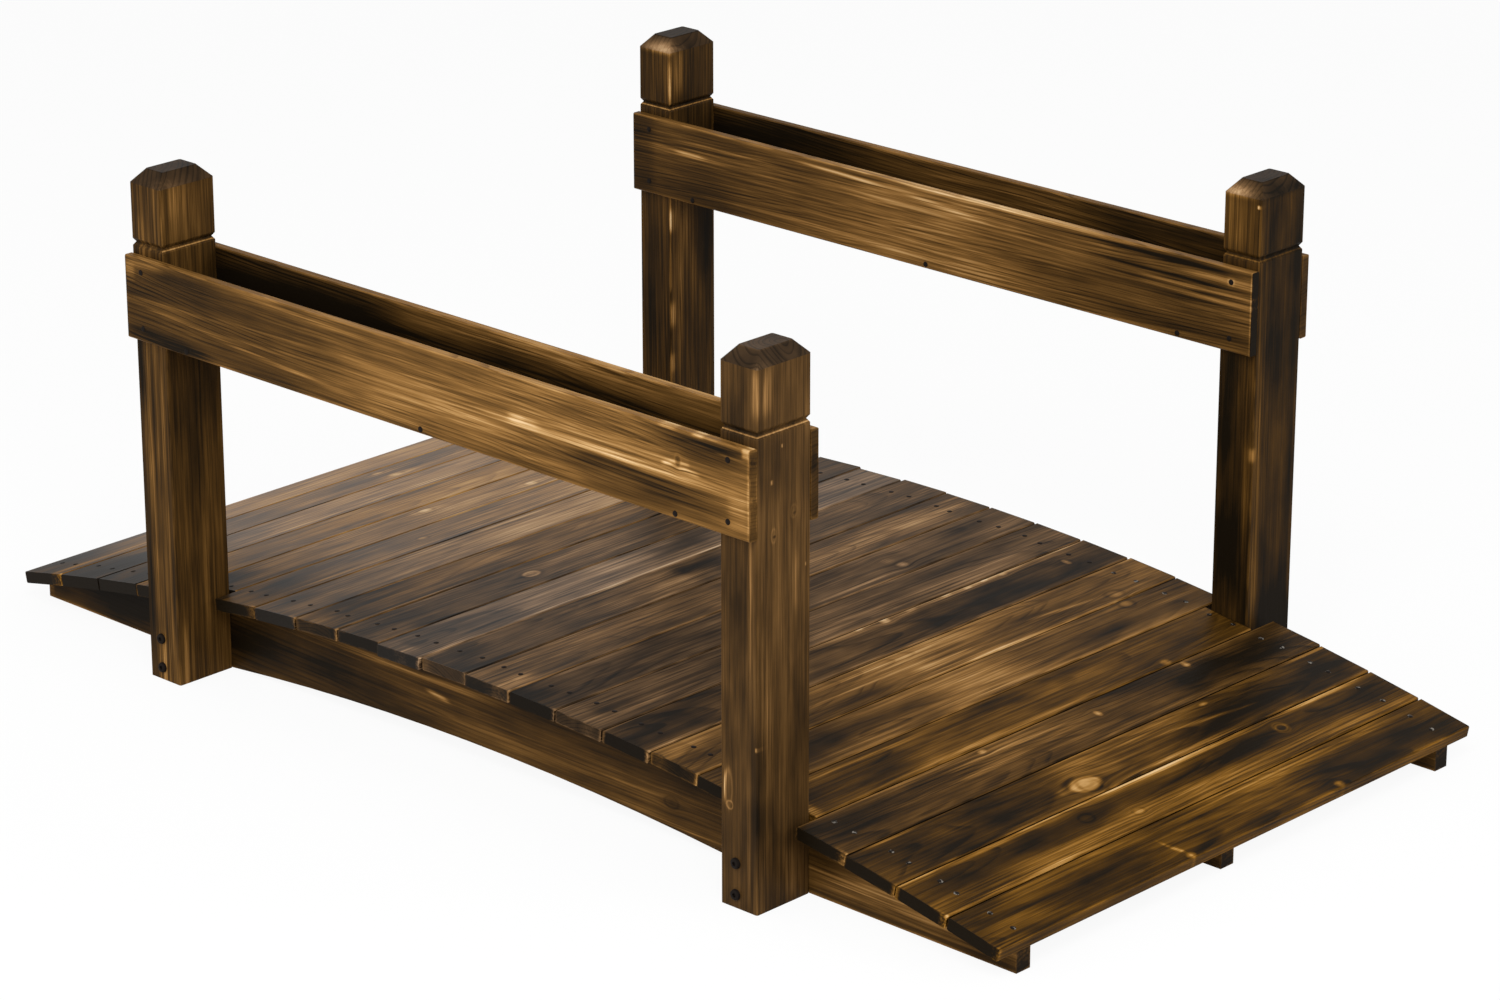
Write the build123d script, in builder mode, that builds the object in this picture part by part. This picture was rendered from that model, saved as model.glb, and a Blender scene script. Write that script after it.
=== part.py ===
from build123d import *
import math
import os

# Garden moon bridge: a low arched footbridge of burnt fir. X runs along the
# walkway, Y runs across it, and Z rises from the level ground the feet rest on.
# All lengths are in millimetres.

# Overall form of the arched deck
bridge_length = 1520.0
deck_crown_height = 120.0
deck_tip_height = 38.0

# Deck boards, laid side by side on the arch
span_board_count = 12
ramp_board_count = 4
board_thickness = 14.0
board_gap = 1.8
board_overhang = 32.5
board_edge_ease = 1.2
board_seat_clearance = 0.2

# The boards were laid by eye: how far each stands out of line towards the far
# side, as a share of the largest step. Ramp boards count from the tip.
board_step = 3.0
span_step_shares = (0.5, 0.2, 0.6, 0.6, -1.0, 0.1, -0.6, -0.5, -0.3, 0.1, 0.8, 0.3)
right_step_shares = (0.2, 0.0, 0.1, 0.8)
left_step_shares = (0.4, 0.2, 0.3, 0.0)

# Three sawn stringers under the boards
stringer_frame_width = 720.0
stringer_thickness = 21.0
stringer_tip_inset = 5.0
stringer_arch_rise = 22.0
middle_stringer_shift = 13.0
middle_stringer_setback = 9.0

# Four posts, bolted against the outer faces of the outer stringers
post_spacing = 900.0
post_width = 51.0
post_depth = 78.0
post_shoulder_height = 585.0
post_cap_rise = 15.0
post_cap_inset_along = 11.5
post_cap_inset_across = 14.5
post_edge_ease = 1.5
groove_drop = 68.5
groove_height = 10.0
groove_depth = 3.5

# The short boards stop at the posts, and the posts stand in the slot they leave
post_slot_clearance = 9.0
post_board_clearance = 1.0

# Trough-shaped railings: two boards nailed to the posts and a floor between them
rail_height = 96.0
rail_thickness = 11.0
rail_gap_below_groove = 7.5
rail_edge_ease = 1.2
rail_floor_thickness = 11.0
rail_floor_clearance = 0.3

# Arc of the deck's top face: through both tips and the crown
half_length = bridge_length / 2
deck_sag = deck_crown_height - deck_tip_height
deck_radius = (half_length**2 + deck_sag**2) / (2 * deck_sag)
arc_centre_z = deck_crown_height - deck_radius
stringer_radius = deck_radius - board_thickness - board_seat_clearance

# Places of the posts and of what lines up with them
post_x = post_spacing / 2
frame_y = stringer_frame_width / 2
post_y = frame_y + post_depth / 2
post_inner_x = post_x - post_width / 2
post_outer_x = post_x + post_width / 2
groove_z = post_shoulder_height - groove_drop
rail_top_z = groove_z - groove_height / 2 - rail_gap_below_groove
rail_bottom_z = rail_top_z - rail_height

os.makedirs("parts", exist_ok=True)


def arc_angle(x):
    """Angle, from the crown, of the point of the deck's arc above x."""
    return math.asin(x / deck_radius)


def arc_top(x, radius):
    """Height of an arc about the deck's centre line at x."""
    return arc_centre_z + math.sqrt(radius**2 - x**2)


def finish(piece, name):
    """Label a finished piece and write it under its own name."""
    piece.label = name
    export_step(piece, "parts/" + name + ".step")


# Deck boards. Each lies tangent to the arc, with its upper face on the arc's
# tangent plane, so that the row reads as a smooth hump. The posts fix the place
# of the two slot boards, and the other boards share the arc that is left.
slot_start = arc_angle(post_inner_x - post_slot_clearance)
slot_end = arc_angle(post_outer_x + post_slot_clearance)
tip_angle = arc_angle(half_length + board_gap / 2)
span_pitch = 2 * slot_start / span_board_count
ramp_pitch = (tip_angle - slot_end) / ramp_board_count
full_board = stringer_frame_width + 2 * board_overhang
post_board = stringer_frame_width - 2 * post_board_clearance

rows = []
for n in range(ramp_board_count):
    right = tip_angle - n * ramp_pitch
    right_step = board_step * right_step_shares[n % len(right_step_shares)]
    left_step = board_step * left_step_shares[n % len(left_step_shares)]
    rows.append((f"right_ramp_board_{n + 1}", right - ramp_pitch, right, full_board, right_step))
    rows.append((f"left_ramp_board_{n + 1}", -right, ramp_pitch - right, full_board, left_step))
rows.append(("right_post_board", slot_start, slot_end, post_board, 0))
rows.append(("left_post_board", -slot_end, -slot_start, post_board, 0))
for n in range(span_board_count):
    left = n * span_pitch - slot_start
    span_step = board_step * span_step_shares[n % len(span_step_shares)]
    rows.append((f"span_board_{n + 1:02d}", left, left + span_pitch, full_board, span_step))

for name, start, end, length, step in rows:
    tilt = (start + end) / 2
    along = (math.cos(tilt), 0, -math.sin(tilt))
    upward = (math.sin(tilt), 0, math.cos(tilt))
    seat = (deck_radius * upward[0], step, arc_centre_z + deck_radius * upward[2])
    underside = deck_radius - board_thickness
    board_width = 2 * underside * math.tan((end - start) / 2) - board_gap
    with BuildPart() as board:
        with BuildSketch(Plane(origin=seat, x_dir=along, z_dir=upward)):
            Rectangle(board_width, length)
        extrude(amount=-board_thickness)
        chamfer(board.edges().filter_by(Axis.Y), length=board_edge_ease)
    finish(board.part, name)

# Stringers. The profile has a flat foot under each ramp, a shallow arch between
# the posts and the deck's arc along the top. The outer two stand against the
# inner faces of the posts. The third runs a little nearer than the middle of the
# boards, and its ends are cut back.
stringer_x = half_length - stringer_tip_inset
stringer_crown_z = arc_centre_z + stringer_radius
middle_face_y = -middle_stringer_shift - stringer_thickness / 2
stringer_places = (
    ("near_stringer", -frame_y, stringer_x),
    ("middle_stringer", middle_face_y, stringer_x - middle_stringer_setback),
    ("far_stringer", frame_y - stringer_thickness, stringer_x),
)
for name, face_y, tip_x in stringer_places:
    tip_z = arc_top(tip_x, stringer_radius)
    with BuildPart() as stringer:
        with BuildSketch(Plane.XZ.offset(-face_y)):
            with BuildLine():
                Line((-tip_x, 0), (-post_inner_x, 0))
                ThreePointArc((-post_inner_x, 0), (0, stringer_arch_rise), (post_inner_x, 0))
                Line((post_inner_x, 0), (tip_x, 0))
                Line((tip_x, 0), (tip_x, tip_z))
                ThreePointArc((tip_x, tip_z), (0, stringer_crown_z), (-tip_x, tip_z))
                Line((-tip_x, tip_z), (-tip_x, 0))
            make_face()
        extrude(amount=-stringer_thickness)
    finish(stringer.part, name)

# Posts. A rectangular shaft with eased arrises, a cap cut back on four sides to
# a small flat, and a V-groove sawn round the shaft below the cap.
cap_flat_along = post_width - 2 * post_cap_inset_along
cap_flat_across = post_depth - 2 * post_cap_inset_across
half_groove = groove_height / 2
for name, side_x, side_y in (
    ("near_left_post", -1, -1),
    ("near_right_post", 1, -1),
    ("far_left_post", -1, 1),
    ("far_right_post", 1, 1),
):
    foot = Plane(origin=(side_x * post_x, side_y * post_y, 0))
    with BuildPart() as post:
        with BuildSketch(foot):
            Rectangle(post_width, post_depth)
        extrude(amount=post_shoulder_height)
        chamfer(post.edges().filter_by(Axis.Z), length=post_edge_ease)
        # The cap: the shaft carried up through a tapering frustum
        with BuildSketch(foot.offset(post_shoulder_height)) as cap_foot:
            Rectangle(post_width, post_depth)
            chamfer(cap_foot.vertices(), length=post_edge_ease)
        with BuildSketch(foot.offset(post_shoulder_height + post_cap_rise)) as cap_flat:
            Rectangle(cap_flat_along, cap_flat_across)
            chamfer(cap_flat.vertices(), length=post_edge_ease)
        loft()
        # The groove: a V sawn across each pair of opposite faces
        for normal, across, depth in (
            ((0, 1, 0), post_width / 2, post_depth),
            ((1, 0, 0), post_depth / 2, post_width),
        ):
            sideways = (normal[1], normal[0], 0)
            cut = Plane(origin=foot.origin + Vector(0, 0, groove_z), x_dir=sideways, z_dir=normal)
            with BuildSketch(cut):
                for edge in (-1, 1):
                    with BuildLine():
                        Polyline(
                            (edge * across, half_groove),
                            (edge * (across - groove_depth), 0),
                            (edge * across, -half_groove),
                            close=True,
                        )
                    make_face()
            extrude(amount=depth, both=True, mode=Mode.SUBTRACT)
    finish(post.part, name)

# Railings. On each side one board lies on the outer faces of the two posts and
# one on the inner faces, flush with the posts at both ends.
rail_length = post_spacing + post_width
outer_rail_y = post_y + post_depth / 2
for name, face_y, outward in (
    ("near_rail_outer_board", -outer_rail_y, -1),
    ("near_rail_inner_board", -frame_y, 1),
    ("far_rail_inner_board", frame_y, -1),
    ("far_rail_outer_board", outer_rail_y, 1),
):
    rail_middle = Plane.XZ.offset(-face_y)
    with BuildPart() as rail:
        with BuildSketch(rail_middle):
            with Locations((0, rail_bottom_z + rail_height / 2)):
                Rectangle(rail_length, rail_height)
        extrude(amount=-outward * rail_thickness)
        chamfer(rail.edges().filter_by(Axis.X), length=rail_edge_ease)
    finish(rail.part, name)

# A floor board closes each railing's trough between its boards and its posts.
floor_length = 2 * (post_inner_x - rail_floor_clearance)
floor_width = post_depth - 2 * rail_floor_clearance
for name, side_y in (("near_rail_floor", -1), ("far_rail_floor", 1)):
    with BuildPart() as floor:
        with BuildSketch(Plane(origin=(0, side_y * post_y, rail_bottom_z))):
            Rectangle(floor_length, floor_width)
        extrude(amount=rail_floor_thickness)
    finish(floor.part, name)
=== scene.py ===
# %% [markdown]
# # A torched-fir moon bridge
# A low garden footbridge: cross boards on three arched stringers, four capped posts and two railings
# that are open at the top like troughs. The solids come from the CAD model, so this lesson is about
# the finish: wood that was scorched with a torch, brushed and oiled, and the steel that holds it.

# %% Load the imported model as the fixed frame
import math
import random
from functools import partial

import bpy
from mathutils import Euler, Matrix, Vector


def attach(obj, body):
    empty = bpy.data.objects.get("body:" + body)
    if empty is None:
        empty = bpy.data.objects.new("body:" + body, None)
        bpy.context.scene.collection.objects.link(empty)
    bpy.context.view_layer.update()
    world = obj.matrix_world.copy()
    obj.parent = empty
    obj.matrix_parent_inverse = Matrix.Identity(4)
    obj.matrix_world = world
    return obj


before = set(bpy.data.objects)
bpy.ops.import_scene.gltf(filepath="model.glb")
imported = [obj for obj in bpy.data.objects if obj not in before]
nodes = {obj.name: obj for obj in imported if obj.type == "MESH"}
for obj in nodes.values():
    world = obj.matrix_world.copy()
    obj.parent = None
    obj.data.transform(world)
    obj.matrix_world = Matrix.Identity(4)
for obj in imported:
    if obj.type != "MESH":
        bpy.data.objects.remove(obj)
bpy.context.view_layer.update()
bpy.ops.object.select_all(action="DESELECT")
MM = 0.001

# %% [markdown]
# ## The shape the finish has to follow
# Wood grain runs along each piece, so every board needs its own little coordinate frame: x across the
# board, y along it, z through its thickness. The deck boards lie tangent to one arc, so their frames
# are worked out from the same few lengths as the solids, in millimetres.

# %% Arc of the deck and the place of every board
HALF_LENGTH, CROWN, TIP = 760.0, 120.0, 38.0
SAG = CROWN - TIP
DECK_RADIUS = (HALF_LENGTH**2 + SAG**2) / (2 * SAG)
ARC_Z = CROWN - DECK_RADIUS
BOARD_THICK, BOARD_GAP = 14.0, 1.8
SPAN_BOARDS, RAMP_BOARDS = 12, 4
POST_X = 450.0
# Half the width of the slot between two full boards that a post stands in
HALF_SLOT = 34.5


def box_of(name):
    """Middle and half sizes of a solid's box, in millimetres."""
    corners = [Vector(corner) for corner in nodes[name].bound_box]
    low, high = (Vector(map(pick, zip(*corners))) for pick in (min, max))
    return (low + high) / (2 * MM), (high - low) / (2 * MM)


def arc_angle(x):
    """Angle from the crown to the point of the deck's arc above x."""
    return math.asin(x / DECK_RADIUS)


SLOT_START, SLOT_END = arc_angle(POST_X - HALF_SLOT), arc_angle(POST_X + HALF_SLOT)
TIP_ANGLE = arc_angle(HALF_LENGTH + BOARD_GAP / 2)
SPAN_STEP = 2 * SLOT_START / SPAN_BOARDS
RAMP_STEP = (TIP_ANGLE - SLOT_END) / RAMP_BOARDS
boards = {}
for n in range(RAMP_BOARDS):
    outer = TIP_ANGLE - n * RAMP_STEP
    boards[f"right_ramp_board_{n + 1}"] = (outer - RAMP_STEP, outer)
    boards[f"left_ramp_board_{n + 1}"] = (-outer, RAMP_STEP - outer)
boards["right_post_board"] = (SLOT_START, SLOT_END)
boards["left_post_board"] = (-SLOT_END, -SLOT_START)
for n in range(SPAN_BOARDS):
    boards[f"span_board_{n + 1:02d}"] = (n * SPAN_STEP - SLOT_START, (n + 1) * SPAN_STEP - SLOT_START)


def board_frame(name):
    """Tilt, centre and half sizes of a deck board, in millimetres."""
    start, end = boards[name]
    tilt = (start + end) / 2
    middle, half = box_of(name)
    width = 2 * (DECK_RADIUS - BOARD_THICK) * math.tan((end - start) / 2) - BOARD_GAP
    reach = DECK_RADIUS - BOARD_THICK / 2
    centre = Vector((reach * math.sin(tilt), middle.y, ARC_Z + reach * math.cos(tilt)))
    return tilt, centre, (width / 2, half.y, BOARD_THICK / 2)


print("deck boards:", len(boards), "deck radius", round(DECK_RADIUS, 1))

# %% [markdown]
# ## Small helpers for node trees
# A material is a graph. Linking nodes by hand in the editor is easy to see but slow to repeat, so
# small helpers do it here. The first sets or links one socket, each of the next adds one kind of node,
# and the last starts a node group with named sockets. Numbers go straight onto a socket, and sockets
# are linked.

# %% Helpers: feed a socket, add math
def feed(tree, socket, value):
    """Link a socket to another, or set its number."""
    if isinstance(value, bpy.types.NodeSocket):
        tree.links.new(value, socket)
    else:
        socket.default_value = value


def add_node(tree, kind, values, **settings):
    """Add a node, set its options and feed its sockets in order."""
    node = tree.nodes.new(kind)
    for option, choice in settings.items():
        setattr(node, option, choice)
    for socket, value in zip(node.inputs, values):
        feed(tree, socket, value)
    return node.outputs


def calc(tree, operation, *values, clamp=False):
    """Add a math node and hand back its result."""
    return add_node(tree, "ShaderNodeMath", values, operation=operation, use_clamp=clamp)[0]


def vector_calc(tree, operation, *values):
    """Add a vector math node and hand back its vector."""
    return add_node(tree, "ShaderNodeVectorMath", values, operation=operation)[0]


def split(tree, vector):
    """The three numbers of a vector."""
    return add_node(tree, "ShaderNodeSeparateXYZ", [vector])


def combine(tree, *numbers):
    """A vector made of up to three numbers."""
    return add_node(tree, "ShaderNodeCombineXYZ", numbers)[0]


print("helpers for numbers and vectors ready")

# %% Helpers: stretched noise, smooth steps and node groups
SOCKET_KINDS = {1: "NodeSocketFloat", 3: "NodeSocketVector", 4: "NodeSocketColor"}


def stretch(tree, vector, scale, shift):
    """Scale a vector by three numbers, then move it: grain is noise that is stretched along the wood."""
    return vector_calc(tree, "MULTIPLY_ADD", vector, scale, shift)


def noise(tree, vector, detail=2.0, roughness=0.5):
    """Smooth noise from 0 to 1 at a scale of one unit."""
    node = tree.nodes.new("ShaderNodeTexNoise")
    settings = (("Vector", vector), ("Scale", 1.0), ("Detail", detail), ("Roughness", roughness))
    for name, value in settings:
        feed(tree, node.inputs[name], value)
    return node.outputs[0]


def ease(tree, value, low, high):
    """Smooth step: 0 at low and 1 at high, which may also be the lower of the two."""
    values = (value, low, high, 0.0, 1.0)
    return add_node(tree, "ShaderNodeMapRange", values, interpolation_type="SMOOTHSTEP")[0]


def fade(tree, value, low, high):
    """Smooth step the other way: 1 at low and 0 at high."""
    return calc(tree, "SUBTRACT", 1.0, ease(tree, value, low, high))


def start_group(name, takes, gives):
    """Start a node group; a socket's first value is one number, three for a vector or four for a colour."""
    tree = bpy.data.node_groups.new(name, "ShaderNodeTree")
    for way, sockets in (("INPUT", takes), ("OUTPUT", gives)):
        for label, first in sockets.items():
            kind = SOCKET_KINDS[len(first) if isinstance(first, tuple) else 1]
            socket = tree.interface.new_socket(name=label, in_out=way, socket_type=kind)
            socket.default_value = first
    return tree, tree.nodes.new("NodeGroupInput").outputs, tree.nodes.new("NodeGroupOutput").inputs


print("helpers for patterns and groups ready")

# %% [markdown]
# ## Knots
# A knot is where a branch left the trunk. The fibres flow round it, its own wood is paler and harder,
# so the torch leaves it light, and a dark ring of bark and resin surrounds it. The group squeezes the
# grain's coordinate towards the knot's middle, so that the rings behind it bend round the knot by
# themselves, and it adds light to the middle and darkness to the rim.

# %% Group: a knot in the grain
# Places are in shares of the knot's own size, so 1 is its outline.
HEART_EDGE, RIM_PLACE, RIM_WIDTH = 1.04, 1.1, 0.26
knot_group, take, give = start_group(
    "knot_in_fir",
    {"Vector": (0, 0, 0), "Total": 0.0, "Across": 0.0, "Along": 0.0, "Radius": 8.0, "Length": 10.0,
     "Bare": 0.4, "Rim": 0.1, "Bend": 0.6, "Core": 0.74},
    {"Vector": (0, 0, 0), "Total": 0.0},
)
knot_math = partial(calc, knot_group)
x, y, z = split(knot_group, take["Vector"])
off_across = knot_math("SUBTRACT", x, take["Across"])
far_across = knot_math("DIVIDE", off_across, take["Radius"])
far_along = knot_math("DIVIDE", knot_math("SUBTRACT", y, take["Along"]), take["Length"])
across_squared = knot_math("MULTIPLY", far_across, far_across)
squared = knot_math("ADD", across_squared, knot_math("MULTIPLY", far_along, far_along))
rough_edge = noise(knot_group, stretch(knot_group, take["Vector"], (0.09, 0.06, 0.05), (3, 1, 2)), 1.0)
reach = knot_math("ADD", knot_math("SQRT", squared), knot_math("MULTIPLY_ADD", rough_edge, 0.14, -0.07))
nearness = knot_math("EXPONENT", knot_math("MULTIPLY", squared, -0.4))
squeeze = knot_math("MULTIPLY", nearness, knot_math("MULTIPLY", take["Bend"], -1.0))
bent = knot_math("MULTIPLY_ADD", off_across, squeeze, x)
feed(knot_group, give["Vector"], combine(knot_group, bent, y, z))
heart = fade(knot_group, reach, take["Core"], HEART_EDGE)
ripple = knot_math("MULTIPLY_ADD", knot_math("SINE", knot_math("MULTIPLY", reach, 12.0)), 0.1, 0.9)
lit = knot_math("MULTIPLY_ADD", knot_math("MULTIPLY", heart, ripple), take["Bare"], take["Total"])
from_rim = knot_math("DIVIDE", knot_math("SUBTRACT", reach, RIM_PLACE), RIM_WIDTH)
rim = knot_math("EXPONENT", knot_math("MULTIPLY", knot_math("MULTIPLY", from_rim, from_rim), -1.0))
feed(knot_group, give["Total"], knot_math("SUBTRACT", lit, knot_math("MULTIPLY", rim, take["Rim"])))
print("knot group nodes:", len(knot_group.nodes))

# %% [markdown]
# ## Fibres and growth rings
# Fir is cut from a trunk, so its pattern is solid: cylinders of growth rings about a pith that lies
# outside most pieces. Cutting those cylinders with a flat board gives straight lines, pointed arches
# and, on sawn ends, arcs, all from one formula. Fine fibres are noise stretched along the wood, and
# slow clouds say where the torch stayed longer.

# %% Group: fibres, rings and scorch clouds
fibre_group, take, give = start_group(
    "fir_fibres",
    {"Vector": (0, 0, 0), "Seed": (0, 0, 0), "Pith": (0, 0, -60), "Ring Gap": 5.0, "Taper": 0.02},
    {"Ring": 0.0, "Fibre": 0.5, "Hair": 0.5, "Band": 0.5, "Cloud": 0.5},
)
fibre_math = partial(calc, fibre_group)


def fibre_noise(across, along, detail, roughness=0.5):
    """Noise with so many cycles per millimetre across and along the wood."""
    place = stretch(fibre_group, take["Vector"], (across, along, across), take["Seed"])
    return noise(fibre_group, place, detail, roughness)


x, y, z = split(fibre_group, vector_calc(fibre_group, "SUBTRACT", take["Vector"], take["Pith"]))
squared = fibre_math("MULTIPLY_ADD", x, x, fibre_math("MULTIPLY", z, z))
trunk = fibre_math("MULTIPLY_ADD", y, take["Taper"], fibre_math("SQRT", squared))
# The trunk sways by up to 30 mm, and its rings wander by up to 9 mm more
swayed = fibre_math("MULTIPLY_ADD", fibre_noise(0.011, 0.0024, 2.0), 30.0, trunk)
year_noise = noise(fibre_group, combine(fibre_group, fibre_math("MULTIPLY", swayed, 0.16)), 1.0)
uneven = fibre_math("MULTIPLY_ADD", year_noise, 9.0, swayed)
year = fibre_math("FRACT", fibre_math("DIVIDE", uneven, take["Ring Gap"]))
late = fibre_math("SUBTRACT", ease(fibre_group, year, 0.5, 0.9), ease(fibre_group, year, 0.9, 1.0))
feed(fibre_group, give["Ring"], late)
feed(fibre_group, give["Fibre"], fibre_noise(0.3, 0.0052, 3.0, 0.62))
feed(fibre_group, give["Hair"], fibre_noise(0.75, 0.015, 2.0))
feed(fibre_group, give["Band"], fibre_noise(0.085, 0.0027, 2.0))
feed(fibre_group, give["Cloud"], fibre_noise(0.023, 0.0075, 3.0))
print("fibre group nodes:", len(fibre_group.nodes))

# %% [markdown]
# ## Streaks
# The torch and the brush leave long streaks: golden where the flame passed quickly, almost black where
# it stayed. Each one is a soft spindle along the grain with a place, a width, a length, a slant and a
# strength. The fibres tear the narrow ones most and the wide ones hardly, so that a streak looks drawn
# by the grain and a broad scorch stays soft. Face and Depth keep a streak near one face of a post.

# %% Group: one streak added to the tone
WIDE_STREAK, NARROW_STREAK = 30.0, 8.0
streak_group, take, give = start_group(
    "scorch_streak",
    {"Vector": (0, 0, 0), "Total": 0.0, "Fibre": 0.5, "Across": 0.0, "Along": 0.0, "Width": 5.0,
     "Length": 100.0, "Slant": 0.0, "Strength": 0.2, "Face": 0.0, "Depth": 9999.0},
    {"Total": 0.0},
)
streak_math = partial(calc, streak_group)
x, y, z = split(streak_group, take["Vector"])
off_along = streak_math("SUBTRACT", y, take["Along"])
drift = streak_math("MULTIPLY_ADD", off_along, take["Slant"], take["Across"])
far_across = streak_math("DIVIDE", streak_math("SUBTRACT", x, drift), take["Width"])
far_along = streak_math("DIVIDE", off_along, take["Length"])
ends = streak_math("MULTIPLY", far_along, far_along)
far = streak_math("MULTIPLY_ADD", far_across, far_across, streak_math("MULTIPLY", ends, ends))
below = streak_math("DIVIDE", streak_math("SUBTRACT", z, take["Face"]), take["Depth"])
far = streak_math("MULTIPLY_ADD", below, below, far)
spindle = streak_math("EXPONENT", streak_math("MULTIPLY", far, -1.0))
rag = streak_math("MULTIPLY_ADD", ease(streak_group, take["Width"], WIDE_STREAK, NARROW_STREAK), 0.8, 0.2)
strands = streak_math("MULTIPLY_ADD", ease(streak_group, take["Fibre"], 0.32, 0.68), 1.2, -0.6)
torn = streak_math("MULTIPLY", spindle, streak_math("MULTIPLY_ADD", strands, rag, 1.0))
feed(streak_group, give["Total"], streak_math("MULTIPLY_ADD", torn, take["Strength"], take["Total"]))
print("streak group nodes:", len(streak_group.nodes))

# %% [markdown]
# ## Worn arrises and sawn ends
# An arris is the corner line of a board. Brushing wears the char off it, or the torch burns it, in a
# broken line. The distance to the nearest corner line is the middle one of the three distances to a
# box's faces, so plain math finds it without baking. The same group says where a sawn end, a narrow
# flank or a cut below the surface is, and how near the two long edges are.

# %% Group: distance to a piece's corner lines
arris_group, take, give = start_group(
    "worn_arris",
    {"Vector": (0, 0, 0), "Half": (30, 300, 7), "Seed": (0, 0, 0), "Width": 2.5, "End Depth": 0.2},
    {"Wear": 0.0, "End": 0.0, "Low Side": 0.0, "High Side": 0.0, "Flank": 0.0, "Cut": 0.0},
)
arris_math = partial(calc, arris_group)
folded = vector_calc(arris_group, "ABSOLUTE", take["Vector"])
side, end, face = split(arris_group, vector_calc(arris_group, "SUBTRACT", take["Half"], folded))
nearer = arris_math("MINIMUM", side, end)
farther = arris_math("MAXIMUM", side, end)
middle = arris_math("MAXIMUM", nearer, arris_math("MINIMUM", farther, face))
patchy = noise(arris_group, stretch(arris_group, take["Vector"], (0.05, 0.02, 0.05), take["Seed"]), 1.5)
broken = arris_math("MULTIPLY_ADD", ease(arris_group, patchy, 0.36, 0.66), 1.25, 0.12)
line = arris_math("MULTIPLY", take["Width"], broken)
feed(arris_group, give["Wear"], fade(arris_group, arris_math("DIVIDE", middle, line), 0.35, 1.15))
past_end = arris_math("SUBTRACT", end, take["End Depth"])
feed(arris_group, give["End"], fade(arris_group, past_end, 0.0, 0.8))
on_side = fade(arris_group, side, 0.1, 0.6)
feed(arris_group, give["Flank"], arris_math("MULTIPLY", on_side, ease(arris_group, face, 1.0, 2.0)))
feed(arris_group, give["Cut"], ease(arris_group, arris_math("MINIMUM", side, face), 1.1, 1.7))
across = split(arris_group, take["Vector"])[0]
half_width = split(arris_group, take["Half"])[0]
slow = noise(arris_group, stretch(arris_group, take["Vector"], (0.02, 0.0075, 0.02), take["Seed"]))
line = arris_math("MULTIPLY_ADD", ease(arris_group, slow, 0.3, 0.7), 4.5, 0.8)
for name, operation in (("Low Side", "ADD"), ("High Side", "SUBTRACT")):
    depth = arris_math("DIVIDE", arris_math(operation, half_width, across), line)
    feed(arris_group, give[name], fade(arris_group, depth, 0.25, 1.25))
print("arris group nodes:", len(arris_group.nodes))

# %% [markdown]
# ## From tone to colour
# Everything so far is one number, the tone: 0 is char and 1 is bare fir. A colour ramp turns it into
# the colours of torched wood: black char, umber, brown, gold and straw. The fibres that shape the tone
# also give the roughness and the small relief, so that colour, gloss and bump stay in step.

# %% Group: torched fir's tone
tone_group, take, give = start_group(
    "torched_fir",
    {"Ring": 0.0, "Fibre": 0.5, "Hair": 0.5, "Band": 0.5, "Cloud": 0.5, "Total": 0.0, "Tone": 0.3,
     "Patch": 0.4, "Bands": 0.3, "Grain": 0.35, "Lines": 0.06, "Wear": 0.0, "Wear Tone": 0.2,
     "Flank": 0.0, "Flank Tone": 0.0, "End": 0.0, "End Tone": 0.02, "Colour": 1.0, "Ash": 0.0},
    {"Color": (0.1, 0.06, 0.02, 1), "Roughness": 0.5, "Height": 0.5},
)
tone_math = partial(calc, tone_group)


def around_middle(name):
    """A pattern from 0 to 1, moved so that its average adds nothing."""
    return tone_math("SUBTRACT", take[name], 0.5)


tone = tone_math("ADD", take["Tone"], take["Total"])
tone = tone_math("MULTIPLY_ADD", around_middle("Cloud"), take["Patch"], tone)
tone = tone_math("MULTIPLY_ADD", around_middle("Band"), take["Bands"], tone)
# Fibres show less where the wood is nearly black
strands = tone_math("SUBTRACT", ease(tone_group, take["Fibre"], 0.26, 0.74), 0.5)
strands = tone_math("MULTIPLY_ADD", around_middle("Hair"), 0.9, tone_math("MULTIPLY", strands, 0.6))
contrast = tone_math("MULTIPLY", tone_math("MULTIPLY_ADD", tone, 1.8, 0.35, clamp=True), take["Grain"])
tone = tone_math("MULTIPLY_ADD", strands, contrast, tone)
fading = tone_math("MULTIPLY", take["Ring"], ease(tone_group, take["Band"], 0.25, 0.75))
tone = tone_math("SUBTRACT", tone, tone_math("MULTIPLY", fading, take["Lines"]))
tone = tone_math("MULTIPLY_ADD", take["Wear"], take["Wear Tone"], tone)
tone = tone_math("MULTIPLY_ADD", take["Flank"], take["Flank Tone"], tone)
# Sawn ends have their own tone, with clouds, worn rims and the year rings
end_grain = tone_math("ADD", take["End Tone"], take["Total"])
end_grain = tone_math("MULTIPLY_ADD", around_middle("Cloud"), 0.3, end_grain)
end_grain = tone_math("MULTIPLY_ADD", take["Wear"], 0.12, end_grain)
end_grain = tone_math("SUBTRACT", end_grain, tone_math("MULTIPLY", take["Ring"], 0.07))
blend = tone_group.nodes.new("ShaderNodeMix")
for name, value in (("Factor", take["End"]), ("A", tone), ("B", end_grain)):
    feed(tone_group, blend.inputs[name], value)
print("tone nodes:", len(tone_group.nodes))

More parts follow.
